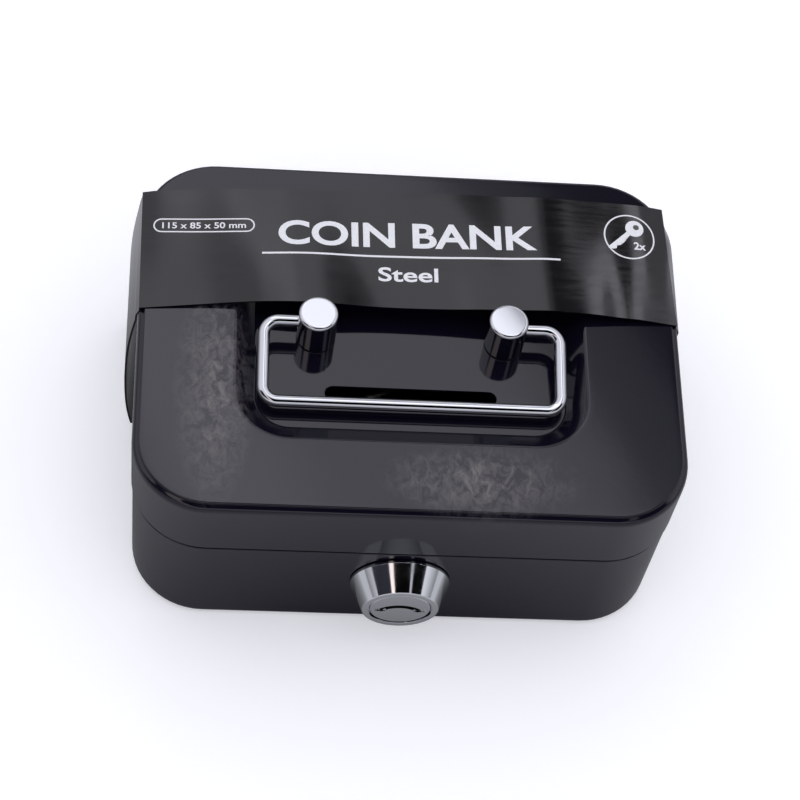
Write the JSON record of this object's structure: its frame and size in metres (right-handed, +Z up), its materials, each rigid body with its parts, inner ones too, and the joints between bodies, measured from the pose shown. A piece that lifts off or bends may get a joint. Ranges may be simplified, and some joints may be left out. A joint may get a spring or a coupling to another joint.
{
  "type": "cash box coin bank",
  "caption": "Small steel cash box with a hinged lid, coin slot, folding bail handle on two posts, cam lock and a card sleeve.",
  "frame": {"origin": "middle of the base's flat underside", "axes": "+X to the right along the length, +Y to the rear, where the hinge is, +Z up; the lock faces -Y"},
  "size_m": [0.1212, 0.0952, 0.0557],
  "materials": {
    "enamel": "gloss black stoving enamel",
    "chrome": "polished chrome plate",
    "zinc_steel": "bright zinc plate",
    "brass": "stamped",
    "nickel": "nickel plate",
    "card": "satin laminated card"
  },
  "bodies": {
    "base": {"base_shell": "enamel", "base_hinge_leaf": "enamel", "hinge_pin": "zinc_steel", "lock_housing": "chrome", "lock_nut": "zinc_steel", "key_1": "nickel", "key_2": "nickel"},
    "lid": {"lid_shell": "enamel", "lid_hinge_leaf": "enamel", "post_left": "chrome", "post_right": "chrome", "post_screw_left": "zinc_steel", "post_screw_right": "zinc_steel", "post_washer_left": "zinc_steel", "post_washer_right": "zinc_steel", "lid_catch": "zinc_steel"},
    "bail": {"bail_handle": "chrome"},
    "lock_barrel": {"lock_plug": "chrome", "lock_wafer_1": "brass", "lock_wafer_2": "brass", "lock_wafer_3": "brass", "lock_wafer_4": "brass", "lock_stop_washer": "zinc_steel", "lock_cam": "zinc_steel", "lock_cam_screw": "zinc_steel"},
    "sleeve": {"sleeve": "card"}
  },
  "joints": [
    {"name": "lid_hinge", "type": "hinge", "parent": "base", "child": "lid", "pos_m": [0, 0.0445, 0.0323], "axis": [-1, 0, 0], "range_deg": [0, 100]},
    {"name": "bail_swing", "type": "hinge", "parent": "lid", "child": "bail", "pos_m": [0, 0.0012, 0.0521], "axis": [-1, 0, 0], "range_deg": [0, 148]},
    {"name": "lock_turn", "type": "hinge", "parent": "base", "child": "lock_barrel", "pos_m": [0, -0.035, 0.019], "axis": [0, 1, 0], "range_deg": [0, 90]},
    {"name": "sleeve_lift", "type": "slide", "parent": "lid", "child": "sleeve", "axis": [0, 0, 1], "range_m": [0, 0.056]}
  ]
}
